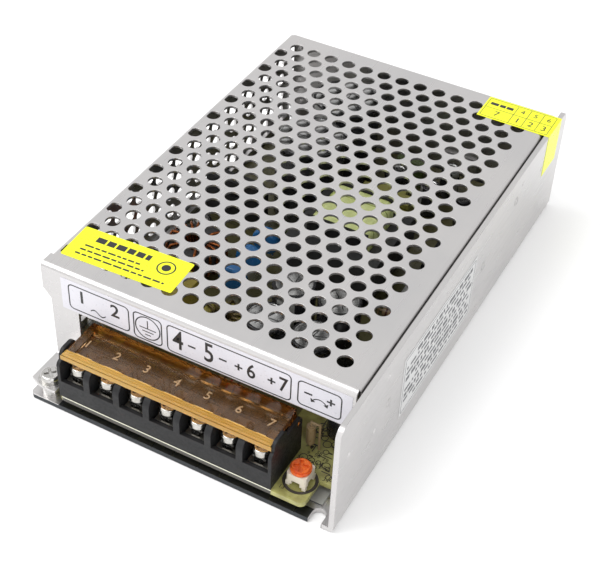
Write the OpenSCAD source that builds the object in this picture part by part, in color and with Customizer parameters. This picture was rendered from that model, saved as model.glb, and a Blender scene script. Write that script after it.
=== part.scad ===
// Enclosed switching power supply with a perforated sheet metal cover.
// The origin is under the middle of the base, X runs along the terminals
// from left to right, Y from front to back and Z up.

/* [Case] */
// Width of the case across the terminals
case_w = 98; // [98:1:120]
// Length of the case from front to back
case_l = 159; // [159:1:200]
// Height of the case
case_h = 38; // [38:1:50]
// Sheet thickness of the chassis
chassis_t = 1.5; // [1.2:0.1:1.8]
// Sheet thickness of the cover
cover_t = 0.8; // [0.6:0.1:1]
// Outside radius of the folded edges
fold_r = 1.6; // [1.2:0.1:2]
// Gap between the cover and the right wall
seam_gap = 0.5; // [0.3:0.1:1]
// Length of base plate in front of the cover
front_tongue = 13.7; // [13:0.1:16]
// Length of base plate behind the cover
rear_tongue = 4.3; // [4:0.1:8]
// Radius of the corners of the right wall
wall_corner_r = 3; // [1:0.5:5]
// Height of the low flange on the left edge of the chassis
flange_h = 8; // [7:0.5:8.2]
// Width of the open slots in the tongues
slot_w = 3.9; // [3.2:0.1:4.5]
// Depth of the open slots
slot_depth = 4.5; // [4:0.1:6]
// Distance of the slots from the side of the case
slot_inset = 5.5; // [5:0.1:8]
// Tapped hole for mounting from below
mount_hole_d = 2.5; // [2.5:0.1:3.3]
// Spacing of the tapped holes across the case
mount_pitch_x = 72; // [60:1:74]
// Spacing of the tapped holes along the case
mount_pitch_y = 110; // [90:1:112]

/* [Perforation] */
// Diameter of the vent holes
vent_d = 4.4; // [3:0.1:4.8]
// Distance between vent holes in a row
vent_pitch = 6.5; // [6:0.1:8]
// Distance between two rows
vent_row = 5.4; // [5:0.1:7]
// Plain strip in front of the first row and behind the last
vent_end_margin = 8.3; // [6:0.1:12]
// Plain strip along the right edge
vent_right_margin = 8.2; // [6:0.1:12]
// Plain strip along the left edge
vent_left_margin = 3.2; // [3.2:0.1:8]
// Rows of holes one below the other in the left wall
vent_wall_rows = 4; // [2:1:4]

/* [Front skirt] */
// Height of the skirt above the terminals
skirt_h = 13.3; // [12:0.1:14]
// Width of the leg at the left end of the skirt
leg_w = 8.9; // [8:0.1:9]
// Distance of the leg from the left side of the case
leg_inset = 2.5; // [2:0.1:3]

/* [Board] */
// Height of the standoffs under the circuit board
standoff_h = 2.3; // [2:0.1:4]
// Outside diameter of the standoffs
standoff_d = 5.5; // [5:0.1:6]
// Thickness of the circuit board
board_t = 1.5; // [1.2:0.1:1.6]
// Clearance of the board from the side walls
board_gap = 1.5; // [1:0.1:2]
// Clearance of the board from the rear wall
board_rear_gap = 2.6; // [2.2:0.1:5]
// Distance of the board from the front edge of the base
board_front_gap = 0.4; // [0:0.1:1]
// Thickness of the insulating sheet
sheet_t = 0.3; // [0.2:0.1:0.4]

/* [Terminal block] */
// Number of terminals
ways = 7; // [5:1:7]
// Distance between terminals
way_pitch = 9.5; // [9:0.1:9.5]
// Clear width of one bay
bay_w = 7.5; // [7:0.1:7.8]
// Height of the block above the board
block_h = 13; // [13:0.1:14]
// Depth of the block from front to back
block_depth = 16.5; // [16.5:0.1:18]
// Distance of the block from the left side of the case
block_inset = 12.8; // [12.6:0.1:14]
// Height of the sill in front of each bay
sill_h = 6; // [5.5:0.1:6.2]
// Thickness of the flip lid
lid_t = 2.05; // [1.8:0.05:2.2]
// Depth of the flip lid from front to back
lid_depth = 14.5; // [13.5:0.1:14.5]
// Width of the raised rim of the lid
lid_rim = 2.4; // [1.5:0.1:3]
// Radius of the hinge pins of the lid
pin_r = 0.8; // [0.6:0.05:1]
// Radial clearance of the hinge pins and the trimmer spindle
pin_clearance = 0.05; // [0.02:0.01:0.1]
// Diameter of the terminal screw heads
screw_head_d = 5.3; // [4.8:0.1:5.6]
// Diameter of all the screw shanks
shank_d = 2.9; // [2.5:0.1:3]

/* [Trimmer] */
// Side of the trimmer body
trimmer_side = 5.8; // [5.4:0.1:6.4]
// Height of the trimmer body
trimmer_h = 3.6; // [3:0.1:4.5]
// Diameter of the dial
dial_d = 5.8; // [5:0.1:6]
// Height of the dial
dial_h = 1.4; // [1.2:0.1:2]

/* [Large parts] */
// Diameter of the input capacitors
input_cap_d = 22; // [18:1:23]
// Gap between the input capacitors and the cover
input_cap_gap = 2.9; // [2:0.1:12]
// Diameter of the output capacitors
output_cap_d = 12.5; // [8:0.5:13]
// Height of the output capacitors
output_cap_h = 21; // [15:1:28]
// Width of the transformer core across the case
core_w = 30; // [28:1:32]
// Length of the transformer core along the case
core_l = 29; // [27:0.5:30]
// Thickness of the transformer core
core_t = 11; // [9:0.5:13]
// Height of the transformer winding
winding_h = 24; // [20:1:26]
// Outside diameter of the input choke
choke_d = 20; // [16:1:21]
// Outside diameter of the output choke
coil_d = 16; // [14:1:17]

/* [Hidden] */
eps = 0.01;
fine = 48;

// Sides of the case and of the cover
x_left = -case_w / 2;
x_right = case_w / 2;
y_front = -case_l / 2;
y_rear = case_l / 2;
wall_x = x_right - chassis_t;
cover_x = wall_x - seam_gap;
skirt_y = y_front + front_tongue;
cover_y = y_rear - rear_tongue;
skirt_z = case_h - skirt_h;
fit_gap = 0.2;
// Room for the folds of the left flange and the cover's left wall
flange_x = x_left + cover_t + fit_gap;
flange_y0 = skirt_y + 7;
flange_y1 = cover_y - 4;
base_x = flange_x + fold_r;
side_y0 = skirt_y + 4.8;
side_y1 = cover_y - fold_r;
cover_z0 = 1;

// Board
board_z = chassis_t + standoff_h;
board_top = board_z + board_t;
board_x0 = x_left + board_gap + 1.2;
board_x1 = wall_x - board_gap;
board_y0 = y_front + board_front_gap;
board_y1 = cover_y - cover_t - board_rear_gap;
board_r = 1.8;
// Corners left open at the front: round the tongue's slot and under the cover's foot
slot_notch_l = 9.2;
foot_notch_w = 9.6;
foot_notch_l = 11;
// The parts are laid out for a board of this size and move with its edges
plan_w = 92.3;
plan_l = 150.9;
function plan_x(u) = board_x0 + u * (board_x1 - board_x0) / plan_w;
function plan_y(v) = board_y0 + v * (board_y1 - board_y0) / plan_l;
function spot(u, v) = [plan_x(u), plan_y(v)];
leg_x0 = x_left + leg_inset;
leg_x1 = leg_x0 + leg_w;
foot_z = board_top;
screw_x = leg_x0 + 5.1;
slot_x = x_right - slot_inset;

// Foot screw and board screws: place, top of the standoff and top of what is clamped
screw_y = board_y0 + 3.2;
screw_edge = 4.5;
rear_screw_edge = 5;
board_screw_places = [
    [screw_x, screw_y, foot_z, foot_z + cover_t],
    [board_x1 - screw_edge, plan_y(37), board_z, board_top],
    [board_x0 + screw_edge, plan_y(84), board_z, board_top],
    [board_x0 + screw_edge, board_y1 - rear_screw_edge, board_z, board_top],
    [board_x1 - screw_edge, board_y1 - rear_screw_edge, board_z, board_top]
];
screw_hole_d = shank_d + 0.5;
board_head_d = 5.6;
board_head_h = 2.1;
washer_t = 0.5;
washer_d = 7;

// Terminal block
block_x0 = x_left + block_inset;
block_x1 = block_x0 + ways * way_pitch;
block_y0 = board_y0 + 0.1;
block_y1 = block_y0 + block_depth;
block_top = board_top + block_h;
end_wall = (way_pitch - bay_w) / 2;
sill_top = board_top + sill_h;
bay_floor = sill_top - 1.6;
sill_t = 1.2;
pocket_z = board_top + 8.6;
pivot_y = block_y1 - 1.9;
pivot_z = board_top + 11.3;
pocket_y = pivot_y - 2.8;
ear_y0 = block_y0 + 1.4;
ear_y1 = ear_y0 + 6.6;
ear_top = block_top + 3.1;
tag_t = 1;
tag_y0 = block_y0 + 1.8;
clamp_gap = 2.2;
clamp_t = 0.8;
clamp_top = bay_floor + tag_t + clamp_gap + clamp_t;
way_screw_y = block_y0 + 4.1;
screw_head_h = 2.2;

// Lid, closed on the block
lid_gap = 0.3;
lid_x0 = block_x0 + end_wall + lid_gap;
lid_x1 = block_x1 - end_wall - lid_gap;
lid_y0 = block_y0 + 1.3;
lid_y1 = lid_y0 + lid_depth;
lid_z = block_top + 0.15;
arm_r = 1.7;
arm_t = 1.1;

// Trimmer
trimmer_gap = 5.1;
trimmer_x = block_x1 + min(trimmer_gap, (wall_x - block_x1) / 2);
trimmer_y = board_y0 + 6.9;
trimmer_z = board_top + 0.8;
dial_z = trimmer_z + trimmer_h + 0.1;
spindle_r = 1;
spindle_l = 1.6;

// Places of the large parts in the plan of the board
input_cap_h = case_h - cover_t - input_cap_gap - board_top;
choke_spot = spot(13.5, 66);
bridge_spot = spot(12.5, 92);
input_cap_spots = [spot(29.5, 108), spot(29.5, 133)];
transformer_spot = spot(55, 86.5);
coil_spot = spot(37, 41.5);
output_cap_spots = [spot(54, 37), spot(68.4, 37), spot(54, 53), spot(68.4, 53)];
blue_spots = [spot(30.5, 59), spot(30.5, 69), spot(30.5, 79)];
film_spot = spot(22.2, 40);
fuse_spot = spot(5.5, 34);
thermistor_spot = spot(7, 50);
drive_spot = spot(55, 112);
chip_spot = spot(78, 108);
opto_spot = spot(78, 84);
// Semiconductors clamped to the right wall, the rectifier in front
rectifier_y = plan_y(48);
transistor_ys = [rectifier_y + 20.5, rectifier_y + 34.5];
pad_t = 0.4;
package_t = 4.6;
package_z = board_top + 6;
transistor_w = 10.2;
transistor_h = 15.5;
rectifier_w = 15.8;
rectifier_h = 16;

// ---- helpers ----

// Block between two opposite corners
module block(x0, y0, z0, x1, y1, z1) {
    translate([x0, y0, z0]) cube([x1 - x0, y1 - y0, z1 - z0]);
}

// Extrudes an outline drawn in X and Z from y0 to y1
module along_y(y0, y1) {
    translate([0, y1, 0]) rotate([90, 0, 0]) linear_extrude(y1 - y0) children();
}

// Extrudes an outline drawn in Y and Z from x0 to x1
module along_x(x0, x1) {
    translate([x0, 0, 0]) rotate([90, 0, 90]) linear_extrude(x1 - x0) children();
}

// Rectangle with rounded corners
module round_rect(x0, y0, x1, y1, r) {
    translate([x0 + r, y0]) square([x1 - x0 - 2 * r, y1 - y0]);
    translate([x0, y0 + r]) square([x1 - x0, y1 - y0 - 2 * r]);
    for (x = [x0 + r, x1 - r], y = [y0 + r, y1 - r]) translate([x, y]) circle(r, $fn = fine);
}

// Quarter of a folded sheet, centred on the fold, in the first quadrant
module fold_arc(r, t) {
    difference() {
        intersection() {
            circle(r, $fn = fine);
            square(r);
        }
        circle(r - t, $fn = fine);
    }
}

// Upright screw: the head's underside is at z, the shank reaches down to z0
module screw(x, y, z, z0, head_d, head_h) {
    recess = 0.8;
    difference() {
        translate([x, y, z]) rotate_extrude($fn = fine) {
            square([head_d / 2, head_h - 0.7]);
            translate([0, head_h - 0.7]) square([head_d / 2 - 0.7, 0.7]);
            translate([head_d / 2 - 0.7, head_h - 0.7]) intersection() {
                circle(0.7, $fn = fine);
                square(0.7);
            }
        }
        for (a = [0, 90]) translate([x, y, z + head_h - recess / 2])
            rotate(a + 45) cube([head_d * 0.62, recess, recess + eps], center = true);
    }
    translate([x, y, z0]) cylinder(d = shank_d, h = z - z0 + eps, $fn = fine);
}

// Round capacitor standing at a spot: grooved sleeve and scored top
module can(p, d, h) {
    lip = 0.5;
    groove = 0.6;
    translate([p[0], p[1], board_top]) difference() {
        rotate_extrude($fn = fine) difference() {
            union() {
                square([d / 2 - lip, h]);
                translate([0, lip]) square([d / 2, h - 2 * lip]);
                translate([d / 2 - lip, lip]) circle(lip, $fn = fine);
                translate([d / 2 - lip, h - lip]) circle(lip, $fn = fine);
            }
            translate([d / 2 + 0.2, h - 3]) circle(groove, $fn = fine);
            translate([-eps, h - 0.4]) square([d / 2 - 2 * lip, 1]);
        }
        for (a = [0, 60, 120]) translate([0, 0, h - 0.4])
            rotate(a) cube([d * 0.6, 0.5, 0.4], center = true);
    }
}

// Lead from the board up to a height
module lead(x, y, z, d) {
    translate([x, y, board_top]) cylinder(d = d, h = z - board_top, $fn = 16);
}

// Flat disc on two leads, its face along X
module disc(p, d, t, lift) {
    z = board_top + lift + d / 2;
    translate([p[0], p[1] + t / 2, z]) rotate([90, 0, 0]) rotate_extrude($fn = fine) {
        square([d / 2 - t / 3, t]);
        translate([0, t / 3]) square([d / 2, t / 3]);
        for (h = [t / 3, 2 * t / 3]) translate([d / 2 - t / 3, h]) circle(t / 3, $fn = fine);
    }
    for (s = [-1, 1]) lead(p[0] + s * d / 4, p[1], z - d / 4, 0.7);
}

// Box with rounded upright edges standing on the board
module board_box(p, w, l, h, r) {
    translate([0, 0, board_top]) linear_extrude(h)
        round_rect(p[0] - w / 2, p[1] - l / 2, p[0] + w / 2, p[1] + l / 2, r);
}

// Ring with rounded edges lying at a height above the board
module ring(p, od, id, z, h, r) {
    translate([p[0], p[1], z]) rotate_extrude($fn = fine) round_rect(id / 2, 0, od / 2, h, r);
}

// Resistor lying across two leads
module resistor(p, d, l) {
    z = board_top + d / 2 + 0.5;
    translate([p[0] - l / 2, p[1], z]) rotate([0, 90, 0]) rotate_extrude($fn = fine) {
        square([d / 2 - 0.4, l]);
        translate([0, 0.4]) square([d / 2, l - 0.8]);
    }
    for (s = [-1, 1]) {
        translate([p[0] + s * (l / 2 + 0.8), p[1], z])
            rotate([0, 90, 0]) cylinder(d = 0.7, h = 2, center = true, $fn = 16);
        lead(p[0] + s * (l / 2 + 1.6), p[1], z + 0.35, 0.7);
    }
}

// Resistor standing on one lead, the other bent down on its right
module standing_resistor(p, d, l) {
    z = board_top + 1.2;
    bend_z = z + l + 1;
    translate([p[0], p[1], z]) rotate_extrude($fn = fine) {
        square([d / 2 - 0.4, l]);
        translate([0, 0.4]) square([d / 2, l - 0.8]);
    }
    translate([p[0], p[1], bend_z]) rotate([0, 90, 0]) cylinder(d = 0.7, h = d, $fn = 16);
    for (x = [p[0], p[0] + d]) lead(x, p[1], bend_z + 0.35, 0.7);
}

// ---- case ----

// Places the cover screws, their heads flush with the cover and facing outwards
module at_cover_screws() {
    for (y = side_screw_ys) translate([x_left, y, side_screw_z]) rotate([0, -90, 0]) children();
    translate([tab_x + tab_w / 2, cover_y, tab_screw_z]) rotate([-90, 0, 0]) children();
}

// Countersunk hole for a cover screw
module cover_screw_hole() {
    translate([0, 0, -flat_head_h]) cylinder(
        d1 = shank_d + 0.1, d2 = flat_head_d + 0.1, h = flat_head_h, $fn = fine);
    translate([0, 0, -6]) cylinder(d = shank_d + 0.1, h = 6, $fn = fine);
    translate([0, 0, -eps]) cylinder(d = flat_head_d + 0.1, h = 1, $fn = fine);
}

// Open slot of a tongue; side is -1 at the front and 1 at the rear
module tongue_slot(x, y, side) {
    translate([x, y - side * (slot_depth - slot_w / 2)]) circle(d = slot_w, $fn = fine);
    translate([x - slot_w / 2, side < 0 ? y - eps : y - slot_depth + slot_w / 2])
        square([slot_w, slot_depth - slot_w / 2 + eps]);
}

// Outline of the base plate as far as the folds
module base_outline() {
    difference() {
        union() {
            round_rect(base_x, y_front, base_x + 20, y_rear, 1.5);
            translate([base_x + 10, y_front]) square([x_right - fold_r - base_x - 10, case_l]);
        }
        tongue_slot(slot_x, y_front, -1);
        tongue_slot(slot_x, y_rear, 1);
        tongue_slot(-slot_x + 3, y_rear, 1);
        for (x = [-1, 1], y = [-1, 1])
            translate([x * mount_pitch_x / 2, y * mount_pitch_y / 2]) circle(d = mount_hole_d, $fn = fine);
    }
}

// Tapped tab that the cover's rear wall is screwed to
tab_x = 8;
tab_w = 16;
tab_h = 11;
tab_y = cover_y - cover_t - fit_gap - chassis_t;
tab_screw_z = 7.5;
flat_head_d = 5.4;
// Each mark: distance from the front edge and height
wall_marks = [[5.5, 25], [21, 19], [27.5, 33], [121.5, 33], [139.5, 27]];
flat_head_h = 1.25;
side_screw_ys = [flange_y0 + 12, flange_y1 - 12];
side_screw_z = 4.9;

module chassis() color("gainsboro") {
    difference() {
        union() {
            linear_extrude(chassis_t) base_outline();
            // right wall and its fold
            along_y(y_front, y_rear) translate([x_right - fold_r, fold_r])
                rotate(-90) fold_arc(fold_r, chassis_t);
            along_x(wall_x, x_right) difference() {
                round_rect(y_front, fold_r - wall_corner_r, y_rear, case_h, wall_corner_r);
                translate([y_front - 1, -wall_corner_r - 1])
                    square([case_l + 2, fold_r + wall_corner_r + 1]);
            }
            // left flange and its fold
            along_y(flange_y0, flange_y1) translate([flange_x + fold_r, fold_r])
                rotate(180) fold_arc(fold_r, chassis_t);
            block(flange_x, flange_y0, fold_r, flange_x + chassis_t, flange_y1, flange_h);
            // rear tab
            block(tab_x, tab_y, chassis_t - eps, tab_x + tab_w, tab_y + chassis_t, tab_h);
        }
        // shallow marks of the press in the right wall
        for (p = wall_marks) translate([x_right - 0.3, y_front + p[0], p[1]])
            rotate([0, 90, 0]) cylinder(d1 = 1, d2 = 2, h = 0.3 + eps, $fn = fine);
        at_cover_screws() cover_screw_hole();
        for (p = clamp_screw_places) translate([wall_x - 1, p[0], p[1]])
            rotate([0, 90, 0]) cylinder(d = shank_d + 0.1, h = 4, $fn = fine);
    }
}

// Rows of the perforation, counted from the front
cover_len = cover_y - skirt_y;
vent_rows = floor((cover_len - 2 * vent_end_margin) / vent_row) + 1;
vent_cols = floor((cover_x - x_left - vent_right_margin - vent_left_margin) / vent_pitch) + 1;
vent_y0 = (skirt_y + cover_y) / 2 - (vent_rows - 1) * vent_row / 2;
vent_x0 = cover_x - vent_right_margin;
vent_wall_z = case_h - 4.8;

// Staggered holes of the top
module top_vents() {
    for (j = [0 : vent_rows - 1], i = [0 : vent_cols - 1 - j % 2])
        translate([vent_x0 - (i + (j % 2) / 2) * vent_pitch, vent_y0 + j * vent_row])
            circle(d = vent_d, $fn = fine);
}

// Staggered holes of the left wall, the same rows carried on past the fold
module side_vents() {
    for (j = [0 : vent_rows - 1], k = [0 : vent_wall_rows - 1])
        translate([vent_y0 + j * vent_row, vent_wall_z - (k + (j % 2) / 2) * vent_pitch])
            circle(d = vent_d, $fn = fine);
}

// Skirt with its leg, seen from the front
module skirt_outline() {
    top = case_h - fold_r;
    step = 2.6;
    difference() {
        polygon([
            [x_left, top], [x_left, skirt_z + 2 + step], [leg_x0, skirt_z + step - 1],
            [leg_x0, foot_z + fold_r], [leg_x1, foot_z + fold_r], [leg_x1, skirt_z],
            [cover_x - 0.7, skirt_z], [cover_x - 0.7, top]
        ]);
        translate([leg_x1 + 0.5, skirt_z - 0.5]) circle(0.5, $fn = fine);
    }
}

// Foot of the leg with a clipped corner, screwed down on the first standoff
module foot_outline() {
    y0 = y_front + 0.1;
    y1 = skirt_y - fold_r + cover_t;
    clip_w = 3.4;
    clip_l = 1.7;
    difference() {
        polygon([
            [leg_x0, y1], [leg_x0, y0 + clip_l], [leg_x0 + clip_w, y0 + 0.3],
            [leg_x0 + clip_w + 2, y0], [leg_x1, y0], [leg_x1, y1]
        ]);
        translate([screw_x, screw_y]) circle(d = screw_hole_d, $fn = fine);
    }
}

lip_h = 6;

module mesh_cover() color("lightgray") difference() {
    folded_cover();
    at_cover_screws() cover_screw_hole();
}

// Top, left wall, lip, skirt with its leg, and rear wall folded from one sheet
module folded_cover() {
    top_z = case_h - cover_t;
    fold_y = skirt_y + fold_r;
    rear_fold_y = cover_y - fold_r;
    // perforated top
    translate([0, 0, top_z]) linear_extrude(cover_t) difference() {
        union() {
            translate([x_left + fold_r, fold_y])
                square([cover_x - x_left - 2 * fold_r, rear_fold_y - fold_y]);
            translate([x_left, fold_y]) square([fold_r + eps, side_y0 - fold_y]);
        }
        top_vents();
    }
    // perforated left wall and its fold
    along_y(side_y0, side_y1) translate([x_left + fold_r, case_h - fold_r])
        rotate(90) fold_arc(fold_r, cover_t);
    along_x(x_left, x_left + cover_t) difference() {
        translate([side_y0, cover_z0]) square([side_y1 - side_y0, case_h - fold_r - cover_z0]);
        side_vents();
    }
    // lip along the right wall
    along_y(fold_y, rear_fold_y) translate([cover_x - fold_r, case_h - fold_r])
        fold_arc(fold_r, cover_t);
    block(cover_x - cover_t, fold_y, case_h - lip_h, cover_x, rear_fold_y, case_h - fold_r);
    // front skirt, leg and foot
    along_x(x_left, cover_x - 0.7) translate([fold_y, case_h - fold_r])
        rotate(90) fold_arc(fold_r, cover_t);
    along_y(skirt_y, skirt_y + cover_t) skirt_outline();
    along_x(leg_x0, leg_x1) translate([skirt_y + cover_t - fold_r, foot_z + fold_r])
        rotate(-90) fold_arc(fold_r, cover_t);
    translate([0, 0, foot_z]) linear_extrude(cover_t) foot_outline();
    // rear wall and its fold
    along_x(x_left + fold_r, cover_x - 0.7) translate([rear_fold_y, case_h - fold_r])
        fold_arc(fold_r, cover_t);
    along_y(cover_y - cover_t, cover_y) difference() {
        translate([x_left + fold_r, chassis_t + fit_gap])
            square([cover_x - 0.7 - x_left - fold_r, case_h - 2 * fold_r]);
        translate([x_left, case_h - fold_r]) square([case_w, 2 * fold_r]);
    }
}

// Countersunk screws through the left and rear walls of the cover into the chassis
module cover_screws() color("silver") {
    at_cover_screws() difference() {
        union() {
            translate([0, 0, -flat_head_h])
                cylinder(d1 = shank_d, d2 = flat_head_d, h = flat_head_h, $fn = fine);
            translate([0, 0, -2.5]) cylinder(d = shank_d, h = 2.5, $fn = fine);
        }
        for (a = [0, 90]) rotate(a) cube([3, 0.7, 1.2], center = true);
    }
}

module insulation_sheet() color("whitesmoke") {
    inset = 3;
    y0 = board_y0 + 5;
    translate([0, 0, chassis_t]) linear_extrude(sheet_t) difference() {
        square_from(board_x0 + inset, y0, board_x1 - inset, board_y1 - 0.5);
        square_from(board_x0, y0 - 1, board_x0 + foot_notch_w + 1, board_y0 + foot_notch_l + 1);
        for (p = board_screw_places) translate([p[0], p[1]]) circle(d = standoff_d + 2, $fn = fine);
    }
}

// Flat rectangle between two opposite corners
module square_from(x0, y0, x1, y1) {
    translate([x0, y0]) square([x1 - x0, y1 - y0]);
}

module board_standoffs() color("silver") {
    for (p = board_screw_places) translate([p[0], p[1], chassis_t]) difference() {
        cylinder(d = standoff_d, h = p[2] - chassis_t, $fn = fine);
        translate([0, 0, -eps]) cylinder(d = shank_d + 0.1, h = p[2], $fn = fine);
    }
}

// Board with rounded corners, notched at both ends of its front edge
module circuit_board() color("darkkhaki") {
    x0 = board_x0 + foot_notch_w;
    x1 = slot_x - slot_w / 2 - 1.6;
    translate([0, 0, board_z]) linear_extrude(board_t) difference() {
        union() {
            round_rect(x0, board_y0, x1, board_y0 + 20, board_r);
            square_from(x0, board_y0 + 10, x1, board_y1);
            square_from(board_x0, board_y0 + foot_notch_l, x0 + eps, board_y1);
            square_from(x1 - eps, board_y0 + slot_notch_l, board_x1, board_y1);
        }
        for (p = board_screw_places) translate([p[0], p[1]]) circle(d = screw_hole_d, $fn = fine);
        for (i = [0 : ways - 1]) translate([way_x(i), tag_pin_y]) circle(d = 1.9, $fn = fine);
    }
}

module board_screws() color("silver") {
    for (p = board_screw_places)
        screw(p[0], p[1], p[3] + washer_t, chassis_t + 0.2, board_head_d, board_head_h);
}

module board_washers() color("lightgray") {
    for (p = board_screw_places) translate([p[0], p[1], p[3]]) difference() {
        cylinder(d = washer_d, h = washer_t, $fn = fine);
        translate([0, 0, -eps]) cylinder(d = shank_d + 0.2, h = washer_t + 1, $fn = fine);
    }
}

// ---- labels ----

label_t = 0.15;
yellow_label_w = 34.5;
yellow_label_l = 13;
seal_l = 11.7;
seal_w = 24.2;
seal_drop = 15;
rating_y0 = -42;
rating_y1 = 7;
rating_z0 = 8;
rating_z1 = 30;

module front_label() color("white") {
    along_y(skirt_y - label_t, skirt_y)
        square_from(leg_x0 + 3.9, skirt_z + 0.3, cover_x - 1.6, case_h - fold_r - 0.5);
}

module yellow_label() color("yellow") {
    translate([x_left + 19.2, skirt_y + 13.2, case_h]) rotate(2.5)
        linear_extrude(label_t) square([yellow_label_w, yellow_label_l], center = true);
}

// Seal folded over the seam and down the right wall
module seal_label() color("yellow") {
    along_y(cover_y - fold_r - seal_l, cover_y - fold_r) {
        square_from(x_right - seal_w, case_h, x_right, case_h + label_t);
        square_from(x_right, case_h - seal_drop, x_right + label_t, case_h + label_t);
    }
}

module rating_label() color("white") {
    along_x(x_right, x_right + label_t) square_from(rating_y0, rating_z0, rating_y1, rating_z1);
}

// ---- terminal block ----

function way_x(i) = block_x0 + (i + 0.5) * way_pitch;
tag_pin_y = block_y1 - 3.4;

// Side view of an inner partition: high in front, low under the lid's arms
module partition_outline() {
    r = 3.2;
    difference() {
        union() {
            round_rect(block_y0, board_top, pocket_y + 4, block_top, r);
            square_from(block_y0, board_top, pocket_y, block_top - 2 * r);
            square_from(block_y0, board_top, block_y1, pocket_z);
        }
        square_from(pocket_y, pocket_z, block_y1 + 5, block_top + 1);
    }
}

// Side view of an end wall, with the ear that keeps the lid in line
module end_outline() {
    r = 1.6;
    difference() {
        union() {
            round_rect(block_y0, board_top, block_y1, block_top, r);
            square_from(block_y0, board_top, block_y1, block_top - 2 * r);
            round_rect(ear_y0, block_top - 4, ear_y1, ear_top, 2.2);
        }
        translate([pivot_y, pivot_z]) circle(pin_r + pin_clearance, $fn = fine);
    }
}

module terminal_block() color("dimgray") {
    difference() {
        union() {
            block(block_x0, block_y0, board_top, block_x1, block_y1, bay_floor);
            block(block_x0, block_y0, bay_floor - eps, block_x1, block_y0 + sill_t, sill_top);
            block(block_x0, block_y1 - 1.2, bay_floor - eps, block_x1, block_y1, pocket_z);
            for (i = [1 : ways - 1]) translate([block_x0 + i * way_pitch, 0, 0])
                along_x(-end_wall, end_wall) partition_outline();
            along_x(block_x0, block_x0 + end_wall) end_outline();
            along_x(block_x1 - end_wall, block_x1) end_outline();
        }
        for (i = [0 : ways - 1]) {
            translate([way_x(i) - 0.9, tag_pin_y - 0.8, board_top - 1]) cube([1.8, 1.6, block_h]);
            translate([way_x(i), way_screw_y, bay_floor - 2.6])
                cylinder(d = screw_hole_d, h = 5, $fn = fine);
        }
    }
}

// Flat tag on the bay floor, with a pin down through the board
module terminal_plates() color("silver") {
    w = bay_w - 0.9;
    for (i = [0 : ways - 1]) {
        difference() {
            translate([way_x(i), 0, 0])
                block(-w / 2, tag_y0, bay_floor, w / 2, tag_pin_y + 0.5, bay_floor + tag_t);
            translate([way_x(i), way_screw_y, bay_floor - 1])
                cylinder(d = shank_d + 0.1, h = 3, $fn = fine);
        }
        translate([way_x(i), tag_pin_y, 0]) block(-0.6, -0.5, board_z - 1, 0.6, 0.5, bay_floor + eps);
    }
}

// Square plate under each screw head, its lip turned down on the tag
module wire_clamps() color("silver") {
    w = 5.8;
    lip_w = 2.7;
    y0 = way_screw_y - 2.1;
    z0 = clamp_top - clamp_t;
    for (i = [0 : ways - 1]) translate([way_x(i), 0, 0]) {
        difference() {
            block(-w / 2, y0, z0, w / 2, way_screw_y + 2.6, clamp_top);
            translate([0, way_screw_y, z0 - 1]) cylinder(d = shank_d + 0.2, h = 3, $fn = fine);
            for (s = [-1, 1]) translate([s * w / 2, y0, z0 - 1])
                rotate(45) cube([1.4, 1.4, 6], center = true);
        }
        block(-lip_w / 2, y0, bay_floor + tag_t, lip_w / 2, y0 + 0.5, z0 + eps);
    }
}

module terminal_screws() color("silver") {
    for (i = [0 : ways - 1])
        screw(way_x(i), way_screw_y, clamp_top, bay_floor - 2.2, screw_head_d, screw_head_h);
}

// Lid with a raised rim, two arms and a pin in each end wall
module terminal_lid() color("darkorange", 0.6) {
    panel = lid_t - 0.9;
    rim_back = lid_rim + 1.2;
    difference() {
        translate([0, 0, lid_z]) linear_extrude(lid_t)
            round_rect(lid_x0, lid_y0, lid_x1, lid_y1, 0.5);
        translate([0, 0, lid_z + panel]) linear_extrude(lid_t)
            square_from(lid_x0 + lid_rim, lid_y0 + lid_rim, lid_x1 - lid_rim, lid_y1 - rim_back);
    }
    // grip ribs along the front edge
    for (h = [0.5, 1.15]) translate([0, lid_y0, lid_z + h]) along_x(lid_x0 + 1, lid_x1 - 1)
        intersection() {
            circle(0.2, $fn = fine);
            translate([-0.4, -0.4]) square([0.4, 0.8]);
        }
    for (s = [0, 1]) {
        x = s == 0 ? lid_x0 : lid_x1 - arm_t;
        along_x(x, x + arm_t) {
            translate([pivot_y, pivot_z]) circle(arm_r, $fn = fine);
            square_from(pivot_y - arm_r, pivot_z, pivot_y + min(arm_r, lid_y1 - pivot_y), lid_z + eps);
        }
        pin_x = s == 0 ? lid_x0 - end_wall - 0.1 : lid_x1 - eps;
        along_x(pin_x, pin_x + end_wall + 0.1 + eps)
            translate([pivot_y, pivot_z]) circle(pin_r, $fn = fine);
    }
}

// ---- trimmer ----

module trimmer_body() color("white") {
    foot = 1.1;
    difference() {
        translate([0, 0, trimmer_z]) linear_extrude(trimmer_h) round_rect(
            trimmer_x - trimmer_side / 2, trimmer_y - trimmer_side / 2,
            trimmer_x + trimmer_side / 2, trimmer_y + trimmer_side / 2, 0.8);
        translate([trimmer_x, trimmer_y, dial_z - spindle_l - 0.3])
            cylinder(r = spindle_r + pin_clearance, h = 9, $fn = fine);
        for (a = [0, 90]) translate([trimmer_x, trimmer_y, trimmer_z])
            rotate(a) cube([trimmer_side + 2, trimmer_side - 3.4, 2.6], center = true);
    }
    for (sx = [-1, 1], sy = [-1, 1]) translate([
            trimmer_x + sx * (trimmer_side / 2 - foot / 2), trimmer_y + sy * (trimmer_side / 2 - foot / 2),
            board_top + (trimmer_z - board_top) / 2 + 0.4])
        cube([foot, foot, trimmer_z - board_top + 0.8], center = true);
}

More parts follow.
